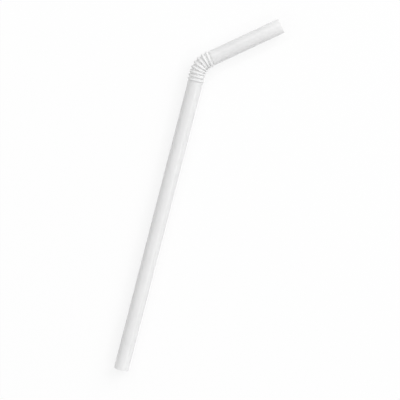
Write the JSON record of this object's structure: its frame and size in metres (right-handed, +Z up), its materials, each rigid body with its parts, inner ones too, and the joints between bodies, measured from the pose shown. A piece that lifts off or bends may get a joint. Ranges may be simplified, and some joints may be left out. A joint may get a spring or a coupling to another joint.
{
  "type": "bendy drinking straw",
  "caption": "Thin-walled white plastic drinking straw with a ringed bellows bend between a long stem and a short mouthpiece, lying on its side.",
  "frame": {"origin": "on the ground, under the centre of the bounding box of the straw as it lies", "axes": "+Y along the stem towards the bellows, +X to the side that the mouthpiece turns to, +Z up from the ground"},
  "size_m": [0.0378, 0.1782, 0.0079],
  "materials": {
    "white_plastic": "smooth extruded white polypropylene, satin gloss"
  },
  "bodies": {
    "root": {"straw": "white_plastic"}
  },
  "joints": []
}
